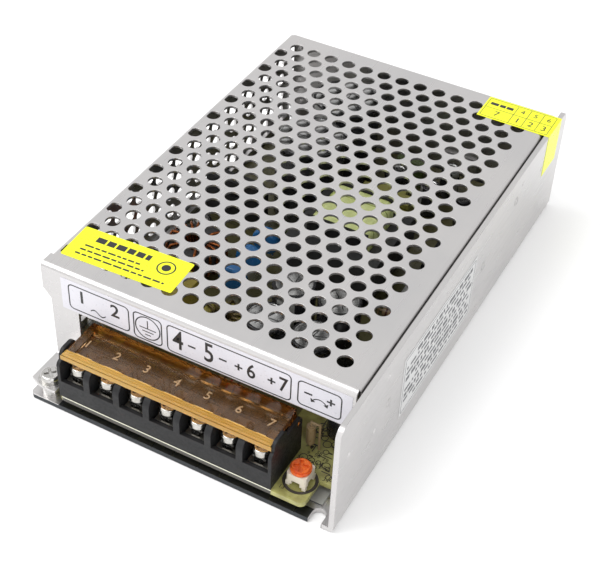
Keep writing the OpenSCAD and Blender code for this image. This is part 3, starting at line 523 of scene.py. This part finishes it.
for along, tall in ((0.55, 0.22), (1.25, 0.18), (2.05, 0.22)):
    y = lid_front + along
    profile = [
        (y - RIB_FOOT, LID_TOP - RIB_ROOT),
        (y - RIB_CREST, LID_TOP + tall),
        (y + RIB_CREST, LID_TOP + tall),
        (y + RIB_FOOT, LID_TOP - RIB_ROOT),
    ]
    ends = [
        [lid_details.verts.new((x * MM, a * MM, b * MM)) for a, b in profile]
        for x in (lid_low.x + 1.2, lid_high.x - 1.2)
    ]
    lid_details.faces.new(ends[0])
    lid_details.faces.new(ends[1][::-1])
    for k in range(4):
        lid_details.faces.new((ends[0][k], ends[1][k], ends[1][(k + 1) % 4], ends[0][(k + 1) % 4]))
new_piece("lid_ribs", lid_details, gold, "lid")
pale_amber = finish(
    "amber_figures", (0.66, 0.44, 0.24), (0.58, 0.38, 0.20), rough=(0.1, 0.2), edge=0, clear=0.4
)
lid_numbers = bmesh.new()
WAYS = 7
block_low, block_high = (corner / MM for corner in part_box("terminal_block"))
pitch = (block_high.x - block_low.x) / WAYS
for way in range(WAYS):
    spot = Matrix.Translation(((block_low.x + (way + 0.5) * pitch - 0.3) * MM, (lid_front + 7.6) * MM, 0))
    figures(lid_numbers, str(way + 1), 2.7, PANEL_TOP - 0.05, PANEL_TOP + 0.22, spot)
new_piece("lid_numbers", lid_numbers, pale_amber, "lid")

# Trimmer: cream nylon body on four legs with an orange dial pressed into it.
dress(finish("cream_moulding", (0.72, 0.66, 0.56), (0.60, 0.53, 0.42), rough=(0.3, 0.5)), "trimmer_body")
dress(
    finish("orange_moulding", (0.86, 0.17, 0.02), (0.60, 0.07, 0.01), rough=(0.2, 0.4), patch=500),
    "trimmer_dial",
)

# Fuse: a glass tube with plated caps, held in two sprung clips.
fuse_low, fuse_high = (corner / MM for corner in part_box("fuse"))
fuse_glass = finish("fuse_glass", (0.70, 0.74, 0.74), (0.62, 0.66, 0.66), rough=(0.05, 0.12), clear=0.85)
for low, high in ((fuse_low.y - 1, fuse_low.y + 5), (fuse_high.y - 5, fuse_high.y + 1)):
    zone(fuse_glass, {"Y": (low, high)}, (0.75, 0.74, 0.70), metal=1.0)
dress(fuse_glass, "fuse")

# Dipped parts: thermistor, ceramic discs and film capacitors, each in its lacquer, with
# tinned leads below the dip.
LEAD_TOP = BOARD_TOP + 1.9
green_dip = finish("green_dip", (0.06, 0.13, 0.07), (0.04, 0.09, 0.05), rough=(0.18, 0.3), coat=0.4)
zone(green_dip, {"X": (-46, -30), "Z": (BOARD_TOP - 1, LEAD_TOP)}, (0.6, 0.6, 0.58), metal=1.0)
dress(green_dip, "thermistor")
blue_dip = finish("blue_dip", (0.03, 0.20, 0.50), (0.02, 0.14, 0.38), rough=(0.18, 0.3), coat=0.4)
zone(blue_dip, {"Z": (BOARD_TOP - 1, BOARD_TOP + 3.2)}, (0.6, 0.6, 0.58), metal=1.0)
dress(blue_dip, "blue_capacitors")
dress(
    finish("green_film", (0.10, 0.14, 0.04), (0.07, 0.10, 0.03), rough=(0.2, 0.35), coat=0.3),
    "film_capacitors",
)
dress(finish("yellow_case", (0.45, 0.36, 0.06), (0.36, 0.28, 0.04), rough=(0.25, 0.4)), "yellow_capacitor")

# Chokes: enamelled copper wound close by hand round ferrite and iron powder rings, the
# ends led down to the board.
ferrite = finish("ferrite", (0.03, 0.03, 0.032), (0.05, 0.05, 0.05), rough=(0.45, 0.7))
dress(ferrite, "choke_core", "transformer_core")
dress(finish("yellow_core", (0.42, 0.36, 0.08), (0.34, 0.28, 0.06), rough=(0.5, 0.7)), "output_choke_core")
enamel = finish(
    "enamelled_copper",
    (0.40, 0.13, 0.04),
    (0.28, 0.08, 0.02),
    rough=(0.18, 0.3),
    metal=0.85,
    patch=300,
    edge=0,
)


def wound_wire(name, node, starts, sweep, turns, wire, enamel):
    """Turns of wire round a ring core, one winding from each start angle in degrees."""
    core = node.replace("windings", "core").replace("winding", "core")
    low, high = (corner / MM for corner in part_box(core))
    centre = (low + high) / 2
    outer = (high.x - low.x) / 2 + wire + 0.15
    inner_ring = {"choke_windings": 4.5, "output_choke_winding": 3.5}[node] - wire - 0.15
    half = (high.z - low.z) / 2 + wire + 0.15
    curve = bpy.data.curves.new(name, "CURVE")
    curve.dimensions = "3D"
    curve.bevel_depth = wire * MM
    curve.bevel_resolution = 3
    curve.use_fill_caps = True
    middle = (outer + inner_ring) / 2
    reach = (outer - inner_ring) / 2
    steps = 20
    for start in starts:
        points = []
        for k in range(turns * steps + 1):
            turn = math.tau * k / steps
            angle = math.radians(start + sweep * k / (turns * steps))
            across, rise = math.cos(turn), math.sin(turn)
            stretch = max(abs(across), abs(rise)) ** 0.75
            radius = middle + reach * across / stretch
            points.append(
                (
                    centre.x + radius * math.cos(angle),
                    centre.y + radius * math.sin(angle),
                    centre.z + half * rise / stretch,
                )
            )
        for end, place in ((0, 0), (-1, len(points))):
            x, y, z = points[end]
            foot = [(x, y, z - 2.0), (x, y, BOARD_TOP)]
            if place == 0:
                points = foot[::-1] + points
            else:
                points = points + foot
        line = curve.splines.new("POLY")
        line.points.add(len(points) - 1)
        for point, (x, y, z) in zip(line.points, points):
            point.co = (x * MM, y * MM, z * MM, 1)
    holder = bpy.data.objects.new(name + "_line", curve)
    data = bpy.data.meshes.new_from_object(holder)
    data.name = name
    bpy.data.objects.remove(holder)
    data.materials.clear()
    data.materials.append(enamel)
    for face in data.polygons:
        face.use_smooth = True
    piece = bpy.data.objects.new(name, data)
    bpy.context.scene.collection.objects.link(piece)
    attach(piece, "case")
    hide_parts(node)


olive_enamel = finish(
    "olive_enamel",
    (0.20, 0.15, 0.06),
    (0.12, 0.09, 0.03),
    rough=(0.2, 0.35),
    metal=0.5,
    patch=300,
    edge=0,
)
wound_wire("input_choke_wire", "choke_windings", (-66, 114), 132, 8, 0.45, enamel)
wound_wire("output_choke_wire", "output_choke_winding", (218,), 324, 14, 0.5, olive_enamel)


# Electrolytic capacitors: aluminium cans rolled in over a rubber plug, the top scored
# so that it opens under pressure, in a black shrink sleeve with a pale polarity stripe.
sleeve = finish("black_sleeve", (0.012, 0.012, 0.014), (0.02, 0.02, 0.022), rough=(0.16, 0.3), edge=0)
can_top = finish(
    "can_top",
    (0.50, 0.50, 0.495),
    (0.42, 0.42, 0.415),
    rough=(0.14, 0.26),
    metal=1.0,
    patch=120,
    grain=500,
    relief=0.000002,
    edge=0,
)
sleeve_stripe = finish("sleeve_stripe", (0.40, 0.40, 0.38), (0.34, 0.34, 0.32), rough=(0.3, 0.4), edge=0)
# The scores are thin dark strips laid on the top: painted shade in the grooves.
score = finish("score_line", (0.05, 0.05, 0.05), (0.08, 0.08, 0.08), rough=(0.4, 0.6), metal=0.6, edge=0)


def can(mesh, x, y, diameter, height, turn):
    radius = diameter / 2
    top = BOARD_TOP + height
    profile = [
        (radius - 0.5, BOARD_TOP, 0),
        (radius, BOARD_TOP + 0.5, 0),
        (radius, top - 3.5, 0),
        (radius - 0.3, top - 3.2, 0),
        (radius - 0.4, top - 2.9, 0),
        (radius - 0.3, top - 2.6, 0),
        (radius, top - 2.3, 0),
        (radius, top - 0.5, 0),
        (radius - 0.15, top - 0.15, 0),
        (radius - 0.5, top, 0),
        (radius - 0.9, top, 0),
        (radius - 1.0, top - 0.4, 1),
    ]
    count = 48
    rings = []
    for r, z, _ in profile:
        rings.append(
            [
                mesh.verts.new(
                    (
                        (x + r * math.cos(math.tau * k / count)) * MM,
                        (y + r * math.sin(math.tau * k / count)) * MM,
                        z * MM,
                    )
                )
                for k in range(count)
            ]
        )
    mesh.faces.new(rings[0][::-1])
    cap = mesh.faces.new(rings[-1])
    cap.material_index = 1
    for a in range(len(rings) - 1):
        for k in range(count):
            after = (k + 1) % count
            face = mesh.faces.new((rings[a][k], rings[a][after], rings[a + 1][after], rings[a + 1][k]))
            on_stripe = (k - turn) % count < 7 and a < 8
            face.material_index = 2 if on_stripe else profile[a + 1][2]
            face.smooth = True
    for angle in (0, 60, 120):
        spot = Matrix.Translation((x * MM, y * MM, 0)) @ Matrix.Rotation(math.radians(angle + turn), 4, "Z")
        reach = radius * 0.62
        prism(mesh, rectangle(-reach, -0.14, reach, 0.14), top - 0.42, top - 0.37, spot, slot=3)


def plan(u, v):
    """A place counted from the board's left and front edges."""
    return board_low.x / MM + u, board_low.y / MM + v


for name, node, cans in (
    ("input_cans", "input_capacitors", (((29.5, 108), 22, 29, 9), ((29.5, 133), 22, 29, 30))),
    (
        "output_cans",
        "output_capacitors",
        (
            ((54, 37), 12.5, 21, 4),
            ((68.4, 37), 12.5, 21, 20),
            ((54, 53), 12.5, 21, 33),
            ((68.4, 53), 12.5, 21, 12),
        ),
    ),
    (
        "small_cans",
        "small_capacitors",
        (
            ((83.3, 27.1), 8, 12, 16),
            ((52, 127), 8, 12, 2),
            ((64, 127), 6.3, 11, 25),
            ((66, 139), 6.3, 11, 40),
            ((76, 126), 5, 11, 8),
        ),
    ),
):
    mesh = bmesh.new()
    for spot, diameter, height, turn in cans:
        can(mesh, *plan(*spot), diameter, height, turn)
    piece = new_piece(name, mesh, [sleeve, can_top, sleeve_stripe, score])
    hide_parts(node)

# Transformer: a ferrite core on a black bobbin, the winding wrapped in yellow-green
# polyester tape whose laps show as fine lines, and taped once more round the core.
tape = finish("yellow_tape", (0.88, 0.96, 0.42), (0.78, 0.86, 0.33), rough=(0.2, 0.35), patch=150, coat=0.3)
dress(tape, "transformer_winding")
dress(finish("drive_tape", (0.34, 0.33, 0.08), (0.28, 0.26, 0.06), rough=(0.25, 0.4)), "drive_transformer")
winding_low, winding_high = (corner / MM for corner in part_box("transformer_winding"))
lap = bmesh.new()
for along in (0.22, 0.48, 0.75):
    y = winding_low.y + along * (winding_high.y - winding_low.y)
    centre_z = (winding_low.z + winding_high.z) / 2
    half_x = (winding_high.x - winding_low.x) / 2
    half_z = (winding_high.z - winding_low.z) / 2
    spot = Matrix.Translation(
        ((winding_low.x + winding_high.x) / 2 * MM, y * MM, centre_z * MM)
    ) @ Matrix.Rotation(math.radians(90), 4, "X")
    frame_line(
        lap,
        rounded(-half_x - 0.06, -half_z - 0.06, half_x + 0.06, half_z + 0.06, 2.5),
        rounded(-half_x + 0.2, -half_z + 0.2, half_x - 0.2, half_z - 0.2, 2.3),
        -0.12,
        0.12,
        spot,
    )
new_piece(
    "tape_laps", lap, finish("tape_lap", (0.38, 0.48, 0.10), (0.32, 0.40, 0.08), rough=(0.25, 0.4), edge=0)
)

# Moulded packages: bobbin, bridge, transistors, rectifier and chip in black epoxy; the
# tabs behind the power packages are bare metal.
epoxy = finish(
    "black_epoxy",
    (0.014, 0.014, 0.015),
    (0.022, 0.022, 0.022),
    rough=(0.4, 0.6),
    patch=300,
    specular=0.35,
)
dress(epoxy, "transformer_bobbin", "bridge_rectifier", "control_chip")
package = finish(
    "package_epoxy", (0.014, 0.014, 0.015), (0.022, 0.022, 0.022), rough=(0.4, 0.6), specular=0.35
)
wall_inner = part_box("insulating_pads")[0].x / MM
zone(package, {"X": (wall_inner - 1.35, wall_inner + 1)}, (0.55, 0.53, 0.50), metal=1.0)
zone(package, {"Z": (BOARD_TOP - 1, BOARD_TOP + 5.95)}, (0.65, 0.64, 0.62), metal=1.0)
dress(package, "power_transistors", "output_rectifier")
dress(finish("grey_pad", (0.25, 0.26, 0.28), (0.2, 0.21, 0.22), rough=(0.6, 0.8)), "insulating_pads")
dress(finish("white_epoxy", (0.55, 0.55, 0.53), (0.5, 0.5, 0.48), rough=(0.4, 0.55)), "optocoupler")

# Resistors: beige lacquered bodies with colour bands, on tinned leads.
dress(
    finish("beige_lacquer", (0.38, 0.27, 0.14), (0.32, 0.22, 0.11), rough=(0.25, 0.4), coat=0.3),
    "resistors",
)
band_colours = [
    finish("band_brown", (0.10, 0.03, 0.01), (0.08, 0.02, 0.01), rough=(0.3, 0.4), edge=0),
    finish("band_red", (0.45, 0.02, 0.01), (0.38, 0.02, 0.01), rough=(0.3, 0.4), edge=0),
    finish("band_gold", (0.55, 0.38, 0.12), (0.48, 0.32, 0.10), rough=(0.3, 0.4), metal=0.7, edge=0),
]
bands = bmesh.new()


def band(spot, radius, colour):
    outer, inner = circle(0, 0, radius + 0.05, 24), circle(0, 0, radius - 0.25, 24)
    before = set(bands.faces)
    frame_line(bands, outer, inner, -0.3, 0.3, spot)
    for face in set(bands.faces) - before:
        face.material_index = colour


for (u, v), diameter, length in (
    ((77, 74.5), 3.2, 8),
    ((78, 69), 3.2, 8),
    ((80.3, 33), 2.4, 6.4),
    ((80.3, 43), 2.4, 6.4),
    ((52, 24), 4.4, 12),
    ((78, 135), 2.4, 6.4),
):
    x, y = plan(u, v)
    for share, colour in ((-0.32, 0), (-0.14, 1), (0.04, 0), (0.3, 2)):
        centre = (x + share * length, y, BOARD_TOP + diameter / 2 + 0.5)
        spot = Matrix.Translation([c * MM for c in centre]) @ Matrix.Rotation(math.radians(90), 4, "Y")
        band(spot, diameter / 2, colour)
piece = new_piece("resistor_bands", bands, band_colours)


# Labels: printed polyester film. The front one carries the terminals' numbers and
# signs in ruled boxes, the yellow one and the seal fields and bars, the rating plate
# rows of ruled lines. No wording is printed on any of them.
FILM = 0.11
INK_LOW, INK_HIGH = 0.09, 0.14
film_ink = finish("label_ink", (0.012, 0.012, 0.014), (0.02, 0.02, 0.022), rough=(0.35, 0.5), edge=0)
white_film = finish("white_film", (0.66, 0.65, 0.70), (0.62, 0.61, 0.66), rough=(0.25, 0.4), patch=90, edge=0)
yellow_film = finish(
    "yellow_film", (0.82, 0.86, 0.012), (0.78, 0.82, 0.01), rough=(0.25, 0.4), patch=90, edge=0
)
rating_film = finish(
    "rating_film", (0.60, 0.60, 0.60), (0.56, 0.56, 0.56), rough=(0.3, 0.45), patch=90, edge=0
)
grey_ink = finish("grey_ink", (0.06, 0.06, 0.07), (0.12, 0.12, 0.13), rough=(0.35, 0.5), edge=0)


def film(name, node, outline, spot, material):
    mesh = bmesh.new()
    prism(mesh, outline, 0.005, FILM, spot)
    piece = new_piece(name, mesh, material)
    if node:
        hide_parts(node)
    return piece


front_low, front_high = (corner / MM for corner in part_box("front_label"))
front_spot = Matrix.Translation((0, front_high.y * MM, 0)) @ Matrix.Rotation(math.radians(90), 4, "X")
film(
    "front_film",
    "front_label",
    rectangle(front_low.x, front_low.z, front_high.x, front_high.z),
    front_spot,
    white_film,
)
front_print = bmesh.new()
RULE = 0.36


def ruled_box(mesh, x0, y0, x1, y1, radius, spot, width=RULE):
    outer = rounded(x0, y0, x1, y1, radius)
    inner = rounded(x0 + width, y0 + width, x1 - width, y1 - width, radius - width)
    frame_line(mesh, outer, inner, INK_LOW, INK_HIGH, spot)


def bar(mesh, x0, y0, x1, y1, spot):
    prism(mesh, rectangle(x0, y0, x1, y1), INK_LOW, INK_HIGH, spot)


for box in (
    (-40.3, 25.9, -20.6, 34.8),
    (-19.4, 25.5, -10.3, 34.8),
    (-8.9, 25.4, 28.4, 34.9),
    (30.1, 26.0, 42.7, 34.7),
):
    ruled_box(front_print, *box, 1.5, front_spot)
for text, x, z, height, squeeze in (
    ("1", -35.9, 31.2, 4.2, 1.0),
    ("2", -25.2, 31.2, 4.2, 1.0),
    ("4", -5.4, 30.3, 6.6, 0.72),
    ("5", 4.0, 30.3, 6.6, 0.72),
    ("6", 16.6, 30.1, 4.8, 0.8),
    ("7", 26.0, 30.1, 4.8, 0.8),
):
    spot = front_spot @ Matrix.Translation((x * MM, z * MM, 0))
    figures(front_print, text, height, INK_LOW, INK_HIGH, spot, squeeze, 0.09)
for x, z, plus in (
    (-1.2, 30.2, False),
    (8.2, 30.2, False),
    (12.9, 30.0, True),
    (22.6, 30.0, True),
    (33.2, 31.0, False),
    (39.6, 31.0, True),
):
    bar(front_print, x - 1.15, z - 0.28, x + 1.15, z + 0.28, front_spot)
    if plus:
        bar(front_print, x - 0.28, z + 0.28, x + 0.28, z + 1.15, front_spot)
        bar(front_print, x - 0.28, z - 1.15, x + 0.28, z - 0.28, front_spot)
# the wave of alternating current under the first two numbers
wave = [(-33.2 + 0.4 * k, 27.9 + 0.7 * math.sin(math.tau * k / 12)) for k in range(13)]
for (xa, za), (xb, zb) in zip(wave, wave[1:]):
    step = [(xa, za - 0.2), (xb, zb - 0.2), (xb, zb + 0.2), (xa, za + 0.2)]
    prism(front_print, step, INK_LOW, INK_HIGH, front_spot)
# the earth sign in its circle
frame_line(
    front_print, circle(-14.85, 30.2, 4.0, 48), circle(-14.85, 30.2, 3.65, 48), INK_LOW, INK_HIGH, front_spot
)
bar(front_print, -15.0, 30.1, -14.7, 32.9, front_spot)
for half, z in ((2.6, 30.0), (1.75, 28.9), (0.9, 27.8)):
    bar(front_print, -14.85 - half, z - 0.15, -14.85 + half, z + 0.15, front_spot)
# the sign of a turned knob between minus and plus
for k in range(10):
    a, b = (math.radians(30 + 12 * step) for step in (k, k + 1))
    corners = [
        (36.4 + r * math.cos(t), 28.2 + r * math.sin(t)) for r, t in ((2.0, a), (2.3, a), (2.3, b), (2.0, b))
    ]
    prism(front_print, corners, INK_LOW, INK_HIGH, front_spot)
for side in (-1, 1):
    tip = (36.4 + side * 2.35, 28.5)
    head = [(tip[0], tip[1]), (tip[0] - side * 1.2, tip[1] + 0.5), (tip[0] + side * 0.2, tip[1] + 1.4)]
    prism(front_print, head if side < 0 else head[::-1], INK_LOW, INK_HIGH, front_spot)
new_piece("front_print", front_print, film_ink)

top_z = cad_box[1][2] / MM - 0.15
yellow_low, yellow_high = (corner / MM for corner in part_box("yellow_label"))
yellow_centre = (yellow_low + yellow_high) / 2
yellow_spot = (
    Matrix.Translation((yellow_centre.x * MM, yellow_centre.y * MM, top_z * MM))
    @ Matrix.Rotation(math.radians(2.5), 4, "Z")
)
yellow_outline = rounded(-17.25, -6.5, 17.25, 6.5, 0.5)
film("yellow_film", "yellow_label", yellow_outline, yellow_spot, yellow_film)
yellow_print = bmesh.new()
for x0, x1 in ((-11.5, -8.6), (-8.0, -5.6), (-5.0, -2.2), (-1.6, 0.6), (1.2, 3.6), (4.2, 5.6)):
    bar(yellow_print, x0, 2.0, x1, 4.1, yellow_spot)
for row, (start, end) in enumerate(((-13.2, 4.6), (-13.6, 6.4), (-14.0, 13.8))):
    y = -0.4 - 1.9 * row
    x = start
    while x < end:
        wide = hand.uniform(1.2, 3.0)
        bar(yellow_print, x, y - 0.3, min(x + wide, end), y + 0.3, yellow_spot)
        x += wide + 0.5
frame_line(yellow_print, circle(11.2, 1.6, 2.7), circle(11.2, 1.6, 2.3), INK_LOW, INK_HIGH, yellow_spot)
prism(yellow_print, circle(11.2, 1.6, 1.3), INK_LOW, INK_HIGH, yellow_spot)
new_piece("yellow_print", yellow_print, film_ink)

seal_low, seal_high = (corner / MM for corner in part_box("seal_label"))
SEAL_WALL = seal_high.x - 0.15
seal_spot = Matrix.Translation((0, 0, top_z * MM))
seal_mesh = bmesh.new()
prism(seal_mesh, rectangle(seal_low.x, seal_low.y, SEAL_WALL + FILM, seal_high.y), 0.005, FILM, seal_spot)
upright = Matrix(((0, 0, 1, 0), (1, 0, 0, 0), (0, 1, 0, 0), (0, 0, 0, 1)))
wall_spot = Matrix.Translation((SEAL_WALL * MM, 0, 0)) @ upright
prism(seal_mesh, rectangle(seal_low.y, seal_low.z, seal_high.y, top_z + 0.004), 0.005, FILM, wall_spot)
piece = new_piece("seal_film", seal_mesh, yellow_film)
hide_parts("seal_label")
seal_print = bmesh.new()
seal_frame = (seal_low.x + 0.6, seal_low.y + 0.6, seal_high.x - 1.2, seal_high.y - 0.6)
ruled_box(seal_print, *seal_frame, 0.5, seal_spot, 0.16)
for k in range(3):
    x = seal_low.x + 10.2 + 4.4 * k
    bar(seal_print, x - 0.08, seal_low.y + 0.9, x + 0.08, seal_high.y - 0.9, seal_spot)
middle = (seal_low.y + seal_high.y) / 2
bar(seal_print, seal_low.x + 0.9, middle - 0.08, seal_high.x - 1.5, middle + 0.08, seal_spot)
for k, text in enumerate(("7", "1", "2", "3")):
    x = seal_low.x + (5.4 if k == 0 else 8.0 + 4.4 * k)
    spot = seal_spot @ Matrix.Translation((x * MM, (middle - 2.6) * MM, 0))
    figures(seal_print, text, 2.6, INK_LOW, INK_HIGH, spot)
for k, text in enumerate(("4", "5", "6")):
    x = seal_low.x + 12.4 + 4.4 * k
    spot = seal_spot @ Matrix.Translation((x * MM, (middle + 2.6) * MM, 0))
    figures(seal_print, text, 2.0, INK_LOW, INK_HIGH, spot)
for x0, x1 in ((1.6, 4.2), (4.7, 6.6), (7.0, 9.2)):
    bar(seal_print, seal_low.x + x0, middle + 1.8, seal_low.x + x1, middle + 3.2, seal_spot)
new_piece("seal_print", seal_print, film_ink)

rating_low, rating_high = (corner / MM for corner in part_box("rating_label"))
film(
    "rating_film",
    "rating_label",
    rectangle(rating_low.y, rating_low.z, rating_high.y, rating_high.z),
    wall_spot,
    rating_film,
)
rating_print = bmesh.new()
rating_frame = (rating_low.y + 0.8, rating_low.z + 0.8, rating_high.y - 0.8, rating_high.z - 0.8)
ruled_box(rating_print, *rating_frame, 0.4, wall_spot, 0.2)
for row in range(9):
    z = rating_high.z - 2.6 - 2.05 * row
    y = rating_low.y + (2.0 if row % 4 else 8.5)
    tall = 0.95 if row % 3 == 0 else 0.6
    while y < rating_high.y - 3.5:
        wide = hand.uniform(0.8, 4.2)
        bar(rating_print, y, z - tall, min(y + wide, rating_high.y - 2.0), z + tall * 0.4, wall_spot)
        y += wide + hand.uniform(0.4, 1.5)
new_piece("rating_print", rating_print, grey_ink)

# Marks on the right wall: three shallow raised rings in the bare sheet. What leaves them
# on the real wall isn't known.
press_marks = bmesh.new()
for y, z in ((-50.5, 22.0), (14.5, 20.5), (38.0, 29.0)):
    frame_line(press_marks, circle(y, z, 1.5, 24), circle(y, z, 1.15, 24), -0.05, 0.08, wall_spot)
new_piece("press_marks", press_marks, mill_finish("marked_sheet"))
